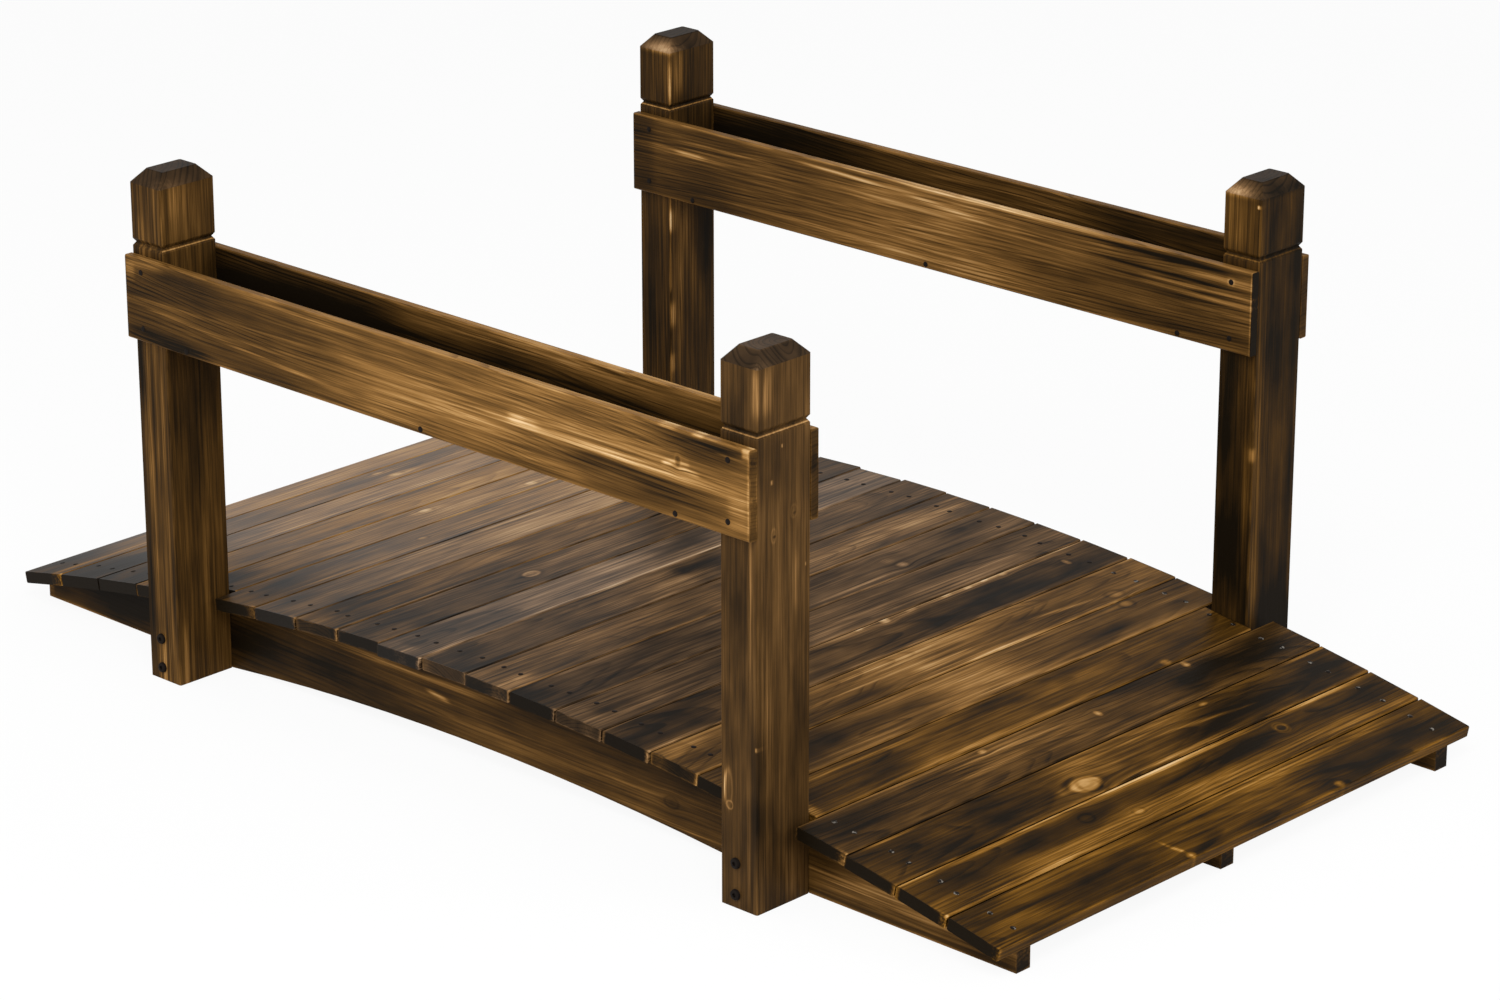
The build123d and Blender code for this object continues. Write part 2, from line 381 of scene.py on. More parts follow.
# %% Group, continued: colour, roughness and height
FIR_COLOURS = (
    (0.00, (0.0075, 0.0048, 0.0022)),
    (0.10, (0.0300, 0.0150, 0.0042)),
    (0.20, (0.0660, 0.0315, 0.0072)),
    (0.30, (0.1130, 0.0545, 0.0130)),
    (0.40, (0.1780, 0.0860, 0.0215)),
    (0.50, (0.2560, 0.1270, 0.0340)),
    (0.65, (0.3880, 0.2130, 0.0720)),
    (0.80, (0.5300, 0.3200, 0.1320)),
    (1.00, (0.7000, 0.4900, 0.2650)),
)
ramp = tone_group.nodes.new("ShaderNodeValToRGB")
while len(ramp.color_ramp.elements) < len(FIR_COLOURS):
    ramp.color_ramp.elements.new(0.5)
for element, (place, colour) in zip(ramp.color_ramp.elements, FIR_COLOURS):
    element.position, element.color = place, (*colour, 1.0)
feed(tone_group, ramp.inputs[0], blend.outputs[0])
vivid = tone_group.nodes.new("ShaderNodeHueSaturation")
ash = tone_math("SUBTRACT", 1.0, tone_math("MULTIPLY", take["End"], take["Ash"]))
feed(tone_group, vivid.inputs["Saturation"], tone_math("MULTIPLY", take["Colour"], ash))
feed(tone_group, vivid.inputs["Color"], ramp.outputs[0])
feed(tone_group, give["Color"], vivid.outputs[0])
dull = tone_math("MULTIPLY_ADD", take["Fibre"], 0.12, 0.32)
feed(tone_group, give["Roughness"], tone_math("MULTIPLY_ADD", take["Hair"], 0.16, dull))
relief = tone_math("MULTIPLY_ADD", take["Fibre"], 0.6, tone_math("MULTIPLY", take["Hair"], 0.5))
feed(tone_group, give["Height"], tone_math("MULTIPLY_ADD", take["Ring"], 0.3, relief))
print("tone group nodes:", len(tone_group.nodes))

# %% [markdown]
# ## One material per piece
# No two boards came from the same place in the tree, so each piece gets its own material, made by one
# function from the shared groups. A Mapping node moves and turns Object coordinates into the piece's
# own frame in millimetres. Knots come first, because they bend the grain, then fibres, then streaks.
# A piece's front is its z face. Posts show a side as well, so a quarter turn lets the same groups
# draw knots and streaks there.

# %% Helpers: turn the grain and place a group
RAIL_TURN = Matrix(((0, 1, 0), (0, 0, 1), (1, 0, 0))).to_euler()
POST_TURN = Matrix(((1, 0, 0), (0, 0, -1), (0, 1, 0))).to_euler()
TO_SIDE, TO_FRONT = -1.0, 1.0


def quarter_turn(tree, vector, way):
    """Turn a piece's frame a quarter about its grain, so that its side face becomes its front, or back."""
    x, y, z = split(tree, vector)
    return combine(tree, calc(tree, "MULTIPLY", z, way), y, calc(tree, "MULTIPLY", x, -way))


def place_group(tree, group, **values):
    """Put a node group into a material and feed its sockets; a space in a name is written as _."""
    node = tree.nodes.new("ShaderNodeGroup")
    node.node_tree = group
    for name, value in values.items():
        feed(tree, node.inputs[name.replace("_", " ")], value)
    return node.outputs


print("rail turn", [round(a, 3) for a in RAIL_TURN], "post turn", [round(a, 3) for a in POST_TURN])

# %% Functions: the sawn groove of a post with its cap's painted light, and the oil coat that places a board's sheen
GROOVE_DARK = 0.06
# The oil coat, weighted to place the sheen of reflected light, reaches its full weight this far from a
# board's near end, in millimetres
SHEEN_RUN_IN = 230


def groove_tone(tree, own, half, cut, total, place, front_lip, side_lip, cap_flat_light):
    """Add a post's dark groove, the bare lower lip on each of its faces, and the light and shade painted on
    its cap's flat to the tone.
    """
    step = partial(calc, tree)
    past = step("SUBTRACT", own[1], place)
    far_x, far_z = (step("ABSOLUTE", own[axis]) for axis in (0, 2))
    on_side = step("GREATER_THAN", step("ADD", far_x, half[2] - half[0]), far_z)
    bare = step("MULTIPLY_ADD", on_side, side_lip - front_lip, front_lip + GROOVE_DARK)
    lip = step("MULTIPLY_ADD", bare, fade(tree, past, -2.8, -1.0), -GROOVE_DARK)
    beside = fade(tree, step("ABSOLUTE", past), 5.5, 6.5)
    total = step("MULTIPLY_ADD", step("MULTIPLY", cut, beside), lip, total)
    # The cap's flat top gets a tone that paints the light falling on it, lighter on one post and darker on
    # the others
    return step("MULTIPLY_ADD", ease(tree, own[1], half[1] - 1.5, half[1] - 0.5), cap_flat_light, total)


def oil_sheen_weight(tree, own, half, fibre, sheen_weight, near_sheen_share):
    """Weight of a thin coat of oil, set to place the sheen of reflected light: it holds a share at the near
    end and is torn by the fibres.
    """
    inward = ease(tree, own[1], -half[1], SHEEN_RUN_IN - half[1])
    oil_and_sheen = calc(tree, "MULTIPLY_ADD", inward, sheen_weight * (1 - near_sheen_share), sheen_weight * near_sheen_share)
    return calc(tree, "MULTIPLY", oil_and_sheen, calc(tree, "MULTIPLY_ADD", fibre, 0.8, 0.6))


print("groove and oil ready")

# %% Function: torched fir for one piece
# A knot is (across, along, radius, length, bare, rim), and a streak is (across, along, width, length,
# strength), with a slant after them where it isn't straight.
LONG_KNOT, HARD_CORE, SOFT_CORE = 12, 0.74, 0.2
KNOT_BEND = 0.6
SATIN = (("Specular IOR Level", 0.03), ("Coat Roughness", 0.42))
# Each kind of piece takes its grain from its own part of the noise
DECK_SEED, RAIL_SEED, FLOOR_SEED, STRINGER_SEED, POST_SEED = 1.7, 41.3, 51.9, 61.7, 71.1


def torched_fir(
    name, centre, turn, half, seed, tone, knots=(), streaks=(), side_knots=(), side_streaks=(),
    low=0.06, high=0.06, pith=(0, 0, -60), ring_gap=5.0, taper=0.02, patch=0.4, bands=0.3, grain=0.35,
    lines=0.06, wear=0.2, wear_width=2.0, flank=0.0, end_tone=0.02, end_depth=0.2, depth=9999.0,
    colour=1.0, ash=0.0, groove=None, sheen_weight=0.0, near_sheen_share=1.0,
):
    """Torched fir for one piece: its frame in millimetres, its tone, and its own knots and streaks."""
    material = bpy.data.materials.new(name)
    material.use_nodes = True
    tree = material.node_tree
    shader = tree.nodes["Principled BSDF"]
    coords = tree.nodes.new("ShaderNodeTexCoord").outputs["Object"]
    piece_frame = (coords, centre * MM, turn, (MM, MM, MM))
    local = add_node(tree, "ShaderNodeMapping", piece_frame, vector_type="TEXTURE")[0]
    own = split(tree, local)
    shift = (seed * 17.31, seed * 5.77, seed * 9.13)
    edges = place_group(tree, arris_group, Vector=local, Half=half, Seed=shift, Width=wear_width,
                        End_Depth=end_depth)
    high_edge = calc(tree, "MULTIPLY", edges["High Side"], high)
    total = calc(tree, "MULTIPLY_ADD", edges["Low Side"], low, high_edge)
    if groove:
        total = groove_tone(tree, own, half, edges["Cut"], total, *groove)
    grain_place = local
    for on_front, face_knots in ((True, knots), (False, side_knots)):
        for across, along, radius, length, bare, rim in face_knots:
            place = grain_place if on_front else quarter_turn(tree, grain_place, TO_SIDE)
            knot = place_group(tree, knot_group, Vector=place, Total=total, Across=across, Along=along,
                               Radius=radius, Length=length, Bare=bare, Rim=rim,
                               Bend=KNOT_BEND * min(1.0, length / radius) ** 2,
                               Core=HARD_CORE if length > LONG_KNOT else SOFT_CORE)
            bent = knot["Vector"]
            grain_place = bent if on_front else quarter_turn(tree, bent, TO_FRONT)
            total = knot["Total"]
    fibres = place_group(tree, fibre_group, Vector=grain_place, Seed=shift, Pith=pith, Ring_Gap=ring_gap,
                         Taper=taper)
    for on_front, face_streaks in ((True, streaks), (False, side_streaks)):
        place = grain_place if on_front else quarter_turn(tree, grain_place, TO_SIDE)
        for across, along, width, length, strength, *slant in face_streaks:
            streak = place_group(tree, streak_group, Vector=place, Total=total, Fibre=fibres["Fibre"],
                                 Across=across, Along=along, Width=width, Length=length,
                                 Slant=slant[0] if slant else 0.0, Strength=strength,
                                 Face=half[2] if on_front else half[0], Depth=depth)
            total = streak["Total"]
    patterns = {label: fibres[label] for label in ("Ring", "Fibre", "Hair", "Band", "Cloud")}
    look = place_group(tree, tone_group, **patterns, Total=total, Tone=tone, Patch=patch, Bands=bands,
                       Grain=grain, Lines=lines, Wear=edges["Wear"], Wear_Tone=wear, Flank=edges["Flank"],
                       Flank_Tone=flank, End=edges["End"], End_Tone=end_tone, Colour=colour, Ash=ash)
    bump = tree.nodes.new("ShaderNodeBump")
    for label, value in (("Strength", 0.3), ("Distance", 0.5 * MM), ("Height", look["Height"])):
        feed(tree, bump.inputs[label], value)
    surface = (("Base Color", look["Color"]), ("Roughness", look["Roughness"]), ("Normal", bump.outputs[0]))
    for label, value in surface + SATIN:
        feed(tree, shader.inputs[label], value)
    # The oil coat's weight places the sheen of reflected studio light on the deck
    if sheen_weight:
        oil_and_sheen = oil_sheen_weight(tree, own, half, fibres["Fibre"], sheen_weight, near_sheen_share)
        feed(tree, shader.inputs["Coat Weight"], oil_and_sheen)
    return material


def dress(node_name, material):
    """Give a solid its material through its object's own slots."""
    for slot in nodes[node_name].material_slots:
        slot.material = material


print("fir ready, sheen set by", [label for label, value in SATIN])

# %% [markdown]
# ## The deck boards
# Each row of the table is one board, from the left tip to the right tip: how light it is, how strong
# its colour is, how pale its two long edges are, how much its near end and its far part differ, its
# knots and its streaks. The lighter far part of the left and middle boards is painted sheen of the
# studio's reflected light. Places are millimetres from the board's middle. The boards near the right
# end were torched harder, with golden edges, and the left ones carry a thin coat of oil, whose weight
# is set board by board to place the sheen of reflected light.

# %% Deck boards: tone, colour, edges, knots and streaks
# name: (tone, colour, low edge, high edge, near end, far part's painted sheen, knots, streaks)
DECK = {
    "left_ramp_board_1": (
        0.29, 1.1, 0.05, 0.05, -0.1, 0.16,
        [],
        [(20, -330, 7, 70, 0.25), (-20, -330, 12, 60, -0.12)],
    ),
    "left_ramp_board_2": (
        0.235, 1.05, 0.07, 0.05, -0.27, 0.11,
        [(14, 96, 9, 12, 0.34, 0.06), (-18, 94, 8, 10, 0.26, 0.06)],
        [(5, -350, 20, 70, -0.12), (3, 200, 10, 25, 0.1, 0.1), (0, 110, 60, 60, 0.05),
         (0, 0, 8, 300, -0.06), (12, 104, 11, 26, 0.16), (-16, 98, 8, 20, 0.12)],
    ),
    "left_ramp_board_3": (
        0.3, 1.02, 0.05, 0.13, -0.26, 0.14,
        [],
        [(22, -20, 5, 200, 0.12), (31, 0, 2.5, 300, -0.1), (0, -350, 30, 60, -0.08),
         (0, 60, 60, 50, 0.05)],
    ),
    "left_ramp_board_4": (
        0.32, 1.09, 0.2, 0.08, 0, 0.14,
        [],
        [(12, -120, 6, 200, -0.09), (28, 60, 5, 160, 0.1), (3, 0, 12, 60, 0.05)],
    ),
    "left_post_board": (
        0.29, 1, 0.05, 0.1, -0.3, 0.2,
        [(-15, -18, 9, 11, 0.32, 0.07), (15, 128, 8, 10, 0.34, 0.06)],
        [(4, 30, 8, 60, 0.1), (-13, -14, 12, 26, 0.2, 0.05), (15, 128, 9, 20, 0.12),
         (20, -200, 5, 140, 0.08), (25, -200, 2.5, 140, -0.12), (0, -180, 8, 170, -0.06),
         (14, 0, 3, 90, 0.08), (0, 120, 60, 120, 0.06)],
    ),
    "span_board_01": (
        0.25, 1.02, 0.06, 0.06, -0.1, 0.16,
        [(3, -105, 6, 8, 0.2, 0.06)],
        [(24, -50, 4, 330, 0.12), (31, -50, 3, 330, -0.12), (-6, -250, 18, 130, -0.06),
         (0, 120, 60, 90, 0.1)],
    ),
    "span_board_02": (
        0.32, 0.95, 0.15, 0.08, -0.2, 0.14,
        [],
        [(-28, -60, 4, 200, 0.14), (8, -300, 15, 120, 0.04), (26, 20, 5, 120, 0.06), (0, 70, 60, 90, 0.1),
         (0, -190, 30, 90, -0.07)],
    ),
    "span_board_03": (
        0.24, 0.95, 0.09, 0.05, -0.11, 0.07,
        [],
        [(27, -280, 3, 130, -0.14), (31, -260, 2, 130, 0.16), (-5, 0, 12, 120, 0.04),
         (0, 60, 60, 50, 0.07)],
    ),
    "span_board_04": (
        0.2, 0.88, 0.05, 0.15, -0.06, 0.05,
        [(1, -128, 10, 14, 0.34, 0.05)],
        [(0, -250, 30, 90, -0.1), (0, 350, 30, 50, 0.06), (-10, -20, 10, 90, 0.05),
         (18, -60, 7, 130, 0.05), (-28, -30, 5, 100, -0.06)],
    ),
    "span_board_05": (
        0.255, 0.81, 0.08, 0.15, -0.11, 0.1,
        [],
        [(-4, 50, 24, 40, -0.14), (0, -386, 18, 14, 0.16), (29, -50, 2.5, 330, 0.26),
         (31, -360, 3, 40, 0.2), (31, -110, 3, 40, 0.2), (0, 350, 24, 50, 0.12), (-14, -20, 10, 70, 0.08),
         (0, -150, 40, 60, 0.12)],
    ),
    "span_board_06": (
        0.23, 0.88, 0.06, 0.1, -0.08, 0.05,
        [(-12, -10, 7, 9, -0.1, 0.04)],
        [(6, -30, 14, 60, 0.14), (-5, -260, 20, 90, -0.06), (-2, 340, 14, 40, -0.08),
         (-29, -380, 8, 20, 0.08), (29, -130, 3, 70, 0.12), (-20, -60, 10, 50, 0.06),
         (0, -150, 40, 40, 0.09), (0, 20, 40, 38, -0.2), (0, -245, 40, 45, -0.08)],
    ),
    "span_board_07": (
        0.235, 0.92, 0.03, 0.14, 0, 0.06,
        [],
        [(18, -370, 14, 30, 0.16), (5, -60, 10, 60, 0.02), (6, 240, 5, 150, 0.1),
         (12, 250, 20, 130, 0.06), (-28, 250, 4, 130, -0.12), (24, -120, 8, 60, -0.06),
         (-6, 340, 20, 50, 0.1)],
    ),
    "span_board_08": (
        0.23, 0.85, 0.12, 0.09, -0.11, 0,
        [(14, 183, 8, 10, 0.38, 0.02), (-3, 178, 11, 12, 0.12, 0)],
        [(26, 100, 5, 80, 0.14), (28, -200, 5, 60, 0.1), (-28, -300, 6, 80, 0.06), (0, 95, 40, 75, 0.13)],
    ),
    "span_board_09": (
        0.25, 0.86, 0.06, 0.1, 0, 0,
        [],
        [(0, -300, 5, 100, -0.08), (16, -320, 9, 80, 0.08), (-12, 235, 16, 110, -0.13),
         (10, 140, 5, 180, 0.1), (24, 100, 6, 160, 0.08), (0, -380, 26, 16, 0.08),
         (0, -20, 40, 60, 0.11)],
    ),
    "span_board_10": (
        0.155, 0.92, 0.29, 0.18, -0.09, 0,
        [(-30, 45, 8, 10, 0.58, 0), (-4, 328, 9, 6, 0.46, 0.02), (-28, 245, 4, 8, 0.26, 0.02)],
        [(-28, 165, 5, 230, 0.24), (8, 120, 18, 200, -0.06), (0, -330, 20, 90, -0.05),
         (31, -340, 3, 60, 0.25), (31, 60, 2.5, 220, 0.14), (-31, 5, 2.5, 6, 0.26), (-30, 90, 2, 8, 0.26),
         (-31, 150, 2.5, 7, 0.22), (-29, 185, 2, 6, 0.24), (-31, 215, 2.5, 5, 0.22)],
    ),
    "span_board_11": (
        0.29, 1, 0.13, 0.18, -0.1, 0,
        [(20, 300, 9, 12, 0.16, 0.06)],
        [(-18, -10, 13, 90, 0.2), (15, 20, 11, 45, 0.22), (15, -95, 9, 40, -0.12),
         (0, -20, 2.5, 160, 0.16), (9, 220, 3, 80, 0.2, 0.13), (-22, -360, 9, 40, 0.14),
         (-5, 150, 10, 50, -0.08), (10, -330, 12, 50, -0.08), (31, 160, 3, 200, 0.22),
         (0, -45, 30, 40, 0.13), (0, 250, 40, 60, -0.06), (2, 60, 7, 260, -0.07)],
    ),
    "span_board_12": (
        0.27, 1, 0.13, 0.13, 0, 0,
        [(-24, 292, 8, 10, 0.18, 0.08)],
        [(5, 30, 16, 80, 0.16), (0, -245, 40, 50, -0.21), (-8, -150, 8, 80, -0.08),
         (10, 290, 14, 110, -0.16), (28, 40, 5, 90, 0.22), (0, 330, 3, 70, 0.1), (22, -200, 5, 90, 0.14),
         (-26, -60, 5, 160, 0.06), (0, 0, 40, 80, 0.19), (0, -40, 7, 260, -0.07)],
    ),
    "right_post_board": (
        0.2, 1.05, 0.08, 0.1, 0, 0,
        [(28, 214, 7, 10, 0.44, 0)],
        [(-24, -220, 5, 90, 0.18), (28, -30, 4, 150, 0.2), (14, -240, 8, 60, -0.1), (-4, 0, 6, 120, 0.08),
         (0, 300, 30, 60, -0.07), (-12, -90, 3, 100, 0.1), (20, -357, 14, 12, 0.3),
         (0, -130, 40, 60, 0.05)],
    ),
    "right_ramp_board_4": (
        0.17, 1, 0.16, 0.04, 0, 0,
        [(-9, 56, 8, 6, 0.46, 0), (-25, 226, 8, 7, 0.56, 0), (-27, -114, 5, 8, 0.42, 0)],
        [(-18, -60, 4, 110, 0.24, 0.02), (-29, -170, 4, 90, 0.16), (2, -160, 4, 120, 0.14),
         (0, 270, 30, 110, -0.15), (29, 110, 4, 120, 0.16), (0, -360, 30, 130, -0.12),
         (14, -40, 5, 110, 0.08), (-6, -120, 12, 120, 0.06), (0, 10, 30, 100, 0.05)],
    ),
    "right_ramp_board_3": (
        0.19, 1.05, 0.1, 0.16, 0, 0,
        [(14, -73, 14, 25, 0.46, 0.07), (16, -70, 7, 12, 0, 0.15), (-25, 172, 4, 9, 0.36, 0)],
        [(0, 0, 18, 80, 0.08), (5, -85, 3, 13, -0.2, -0.12), (18, -68, 2, 9, -0.1, 0.1),
         (12, -104, 5, 9, 0.14), (-8, -45, 26, 40, 0.08), (-3, 130, 2.5, 110, 0.22, 0.11),
         (10, 210, 8, 90, -0.1), (0, 280, 30, 110, -0.19), (-4, -290, 30, 150, -0.12),
         (30, 60, 3, 110, 0.28), (-30, -330, 3, 40, 0.2), (-30, 360, 3, 40, 0.2), (-24, 40, 8, 110, 0.1),
         (0, -50, 30, 45, 0.1)],
    ),
    "right_ramp_board_2": (
        0.21, 1.07, 0.36, 0.16, -0.08, 0,
        [(-12, 205, 5.5, 6.5, 0.02, -0.22), (-12, 205, 7.5, 8.5, 0, -0.12), (-10, -125, 7, 9, 0.04, 0.05),
         (12, -66, 6, 8, 0.12, 0.06)],
        [(-30, 30, 3, 420, 0.3), (-8, 0, 14, 420, -0.14), (20, 100, 10, 260, 0.14),
         (30, -280, 4, 130, 0.28), (28, 320, 4, 80, 0.22), (2, 320, 22, 80, -0.08),
         (6, -30, 14, 70, 0.13), (18, -260, 8, 160, 0.1), (-14, 60, 3, 60, 0.08), (0, -120, 30, 75, 0.12),
         (0, 245, 30, 40, -0.06)],
    ),
    "right_ramp_board_1": (
        0.17, 1.08, 0.12, 0.1, 0, 0,
        [(29, -86, 6, 9, 0.5, 0), (28, 166, 7, 9, 0.5, 0)],
        [(13, -91, 8, 6, 0.26, 2.4), (-25, 40, 7, 320, 0.16), (5, -200, 20, 80, -0.06),
         (4, 20, 16, 110, 0.04), (5, 300, 24, 150, -0.12), (12, -330, 10, 60, 0.1),
         (28, -370, 6, 30, 0.16)],
    ),
}
print("boards in the table:", len(DECK), "streaks", sum(len(row[-1]) for row in DECK.values()))

# %% Deck boards: sawn ends, oil and figure
# Tone of the near sawn end, then width and strength of the streak at its right corner
ENDS = {
    "left_ramp_board_2": (-0.06, 2, -0.1),
    "left_ramp_board_3": (-0.06, 2, -0.1),
    "left_ramp_board_4": (-0.06, 2, -0.1),
    "span_board_01": (0.05, 9, 0.22),
    "span_board_02": (0, 7, 0.25),
    "span_board_03": (0.12, 4, 0.2),
    "span_board_05": (0, 3, 0.28),
    "span_board_06": (0.22, 3, 0.16),
    "span_board_07": (0, 2, 0.16),
    "span_board_08": (0, 5, 0.2),
    "span_board_09": (0.08, 3, 0.12),
    "span_board_10": (0, 5, 0.22),
    "span_board_11": (0.1, 4, 0.2),
    "right_ramp_board_4": (0, 10, 0.3),
    "right_ramp_board_3": (0, 4, 0.14),
    "right_ramp_board_2": (-0.08, 9, 0.3),
    "right_ramp_board_1": (-0.1, 5, 0.16),
    "left_ramp_board_1": (0.04, 8, 0.3),
}
PLAIN_END = (0, 2, 0.1)
# Weight of the oil coat on each board from the left, set to place the sheen of reflected light, then its
# share at the near end, up to a board's number
OIL_SHEEN_WEIGHTS = (0.46, 0.37, 0.44, 0.35, 0.32, 0.37, 0.3, 0.1, 0.1, 0.26, 0.07, 0.08)
NEAR_OIL_SHEEN_SHARES = ((6, 0.15), (10, 0.6), (22, 1.0))
# Strength of the clouds and of the grain, up to a board's number from the left
FIGURES = ((12, 0.75, 0.5), (16, 0.7, 0.42), (22, 0.6, 0.38))
# Place, width and length of the broad streaks that set a board's near end and far part apart; the far
# part's lightness is painted sheen
NEAR_END, FAR_PART_SHEEN = (0, -390, 60, 110), (0, 70, 60, 270)
SLIVER_LENGTH = 4


def pith_of(count):
    """The pith lies below a board, at a place that differs from board to board."""
    return count * 37 % 61 - 30, 0, -35 - count * 23 % 50


for count, (name, row) in enumerate(DECK.items()):
    tone, colour, low, high, near, far, knots, streaks = row
    tilt, centre, half = board_frame(name)
    end_tone, sliver_width, sliver = ENDS.get(name, PLAIN_END)
    # The far part's streak lightens the board: painted sheen of reflected light
    broad = [(*NEAR_END, near), (*FAR_PART_SHEEN, far)]
    corner = (half[0], -half[1], sliver_width, SLIVER_LENGTH, sliver)
    streaks = [streak for streak in broad if streak[-1]] + streaks + [corner]
    patch, grain = next((clouds, fibres) for last, clouds, fibres in FIGURES if count < last)
    near_sheen_share = next(share for last, share in NEAR_OIL_SHEEN_SHARES if count < last)
    # The two tip boards keep a brown free edge, and the others are burnt along theirs
    tip = name.endswith("ramp_board_1")
    dress(name, torched_fir(
        "deck_" + name, centre, Euler((0, tilt, 0)), half, DECK_SEED + count, tone, knots, streaks,
        low=low, high=high, pith=pith_of(count), ring_gap=3.4 + count * 7 % 5 * 0.4,
        taper=0.015 + count % 4 * 0.012, colour=colour, patch=patch, bands=0.15, grain=grain, lines=0.13,
        wear=0.08 if tip else -0.12, wear_width=1.6, flank=-0.02 if tip else -0.3, end_tone=end_tone,
        sheen_weight=OIL_SHEEN_WEIGHTS[count] if count < len(OIL_SHEEN_WEIGHTS) else 0.0, near_sheen_share=near_sheen_share,
    ))
print("deck boards dressed:", len(DECK))

# %% [markdown]
# ## Rails, floors, stringers and posts
# These are the same wood in other directions. The rails were torched lightly and stay golden, with
# bold arches of grain, and the walls inside their troughs are darker to paint the shade there. The
# stringers are dark brown with a few golden streaks. The posts have straight grain and a sawn V-groove,
# whose lower lip is rubbed bare on the front or the side, and their caps' flat tops carry painted light
# and shade.

# %% Rails and trough floors
# name: (tone, narrow top and bottom faces, sawn ends, pith, knots, streaks)
RAILS = {
    "near_rail_outer_board": (
        0.37, 0.04, 0.12, (-150, 0, -20),
        [(14, 377, 7, 4.5, -0.16, -0.05)],
        [(0, -390, 80, 280, -0.17), (32, -380, 9, 70, -0.14), (20, -300, 6, 60, -0.08),
         (-40, -410, 9, 70, -0.24), (-44, -370, 4, 40, -0.12), (42, -445, 5, 30, 0.22),
         (30, -468, 10, 8, 0.15), (-18, -290, 2.5, 190, 0.16, -0.077), (5, -290, 2.5, 180, 0.14, 0.02),
         (-8, -200, 3, 120, 0.12, 0.04), (-6, -10, 22, 110, 0.08), (34, -20, 14, 90, -0.07),
         (-14, 75, 10, 75, 0.14), (12, 40, 9, 60, 0.1), (12, 290, 9, 90, 0.08), (36, 140, 8, 70, 0.08),
         (-36, -40, 8, 45, 0.12), (-22, -45, 14, 45, 0.08), (12, 195, 10, 50, 0.06),
         (-36, 195, 8, 50, 0.06), (24, 60, 2.5, 120, 0.1, -0.03), (38, -140, 3, 110, 0.12, -0.03),
         (-1, 190, 4, 190, 0.22, -0.008), (-10, 240, 2, 130, -0.1, -0.01), (-17, 270, 2.5, 110, -0.08),
         (4, 155, 7, 22, 0.2), (4, 146, 4, 12, 0.16), (-6, -120, 14, 70, -0.08),
         (12, -430, 10, 90, -0.08), (16, 280, 10, 130, 0.07), (36, 410, 10, 66, -0.24),
         (26, 425, 5, 45, -0.16), (43, 430, 2.5, 45, -0.12), (35, 450, 1.2, 20, 0.14),
         (44, 470, 5, 5, 0.35), (0, 474, 60, 2, 0.14), (47.5, 362, 2, 12, 0.3), (47.5, 404, 2, 8, 0.3),
         (-3, 330, 4.5, 100, 0.14, -0.02), (-4, 440, 4, 50, 0.12, -0.02), (-12, 370, 2, 70, -0.1),
         (-20, 355, 3, 60, -0.07), (-27, 390, 3, 70, -0.12), (-36, 345, 7, 90, -0.12),
         (-22, 325, 10, 120, -0.1), (-16, 385, 9, 60, -0.09), (-16, 425, 2, 40, 0.12),
         (-12, 277, 7, 45, -0.08), (-20, 460, 15, 14, 0.16), (9.5, 364, 3, 9, 0.3, 0.2),
         (14, 387, 4, 6, 0.16), (6.5, 392, 2.5, 14, 0.28, -0.07), (-42, 200, 5, 160, -0.06),
         (-42, -100, 4, 150, -0.05)],
    ),
    # This board's open face is the near trough's inner wall: its low tone, its dark left half and its dark
    # lengthwise bands paint the shade inside the trough
    "near_rail_inner_board": (
        0.26, 0.14, 0.14, (-160, 0, 20),
        [],
        [(0, -330, 60, 200, -0.26), (-25, 0, 25, 480, -0.06), (40, 80, 6, 200, 0.14),
         (24, 260, 30, 170, 0.07), (14, 0, 11, 460, -0.2)],
    ),
    "far_rail_inner_board": (
        0.27, 0.04, -0.3, (140, 0, -10),
        [],
        [(0, -430, 70, 130, -0.1), (0, -462, 60, 22, -0.1), (-36, -330, 14, 120, -0.1),
         (0, 10, 70, 170, 0.09), (0, 330, 70, 90, -0.03), (39, -130, 2.2, 80, 0.3, -0.035),
         (32, 20, 3, 70, 0.28, -0.09), (22, -20, 10, 110, 0.13, -0.05), (29, -310, 2, 80, 0.16, 0.01),
         (13, -380, 2, 24, 0.3), (12, -310, 1.6, 80, 0.12), (19, -140, 1.8, 60, 0.12, -0.03),
         (41, 330, 3, 120, -0.26), (23, 350, 2, 120, -0.24), (11, 370, 1.6, 110, -0.18),
         (2, 380, 1.6, 100, -0.14), (-33, 390, 7, 100, -0.14), (32, 430, 4, 60, 0.12),
         (17, 440, 3, 60, 0.14), (7, 445, 2.5, 60, 0.12), (-8, 440, 4, 50, 0.08), (0, 475, 60, 2, 0.22),
         (36, -278, 8, 50, -0.07), (12, -110, 7, 60, -0.06), (12, 360, 6, 40, 0.13),
         (-36, 316, 8, 60, -0.06), (32, 446, 5, 5, 0.15), (-33, -240, 3, 120, 0.12),
         (-12, -119, 8, 45, -0.09), (-12, 198, 8, 45, -0.09), (12, 40, 7, 40, 0.05),
         (-36, 20, 12, 130, 0.17), (-12, -40, 14, 150, 0.13), (12, -400, 10, 90, 0.13),
         (36, 95, 11, 75, 0.12, -0.03), (47, 110, 3, 240, 0.24)],
    ),
    # This board's open face is the far trough's inner wall, and its low tone paints the shade inside the
    # trough
    "far_rail_outer_board": (
        0.18, 0.12, 0.18, (-120, 0, 15),
        [],
        [(30, 30, 8, 130, 0.16), (0, -330, 60, 160, -0.2), (0, 330, 60, 160, -0.14)],
    ),
}
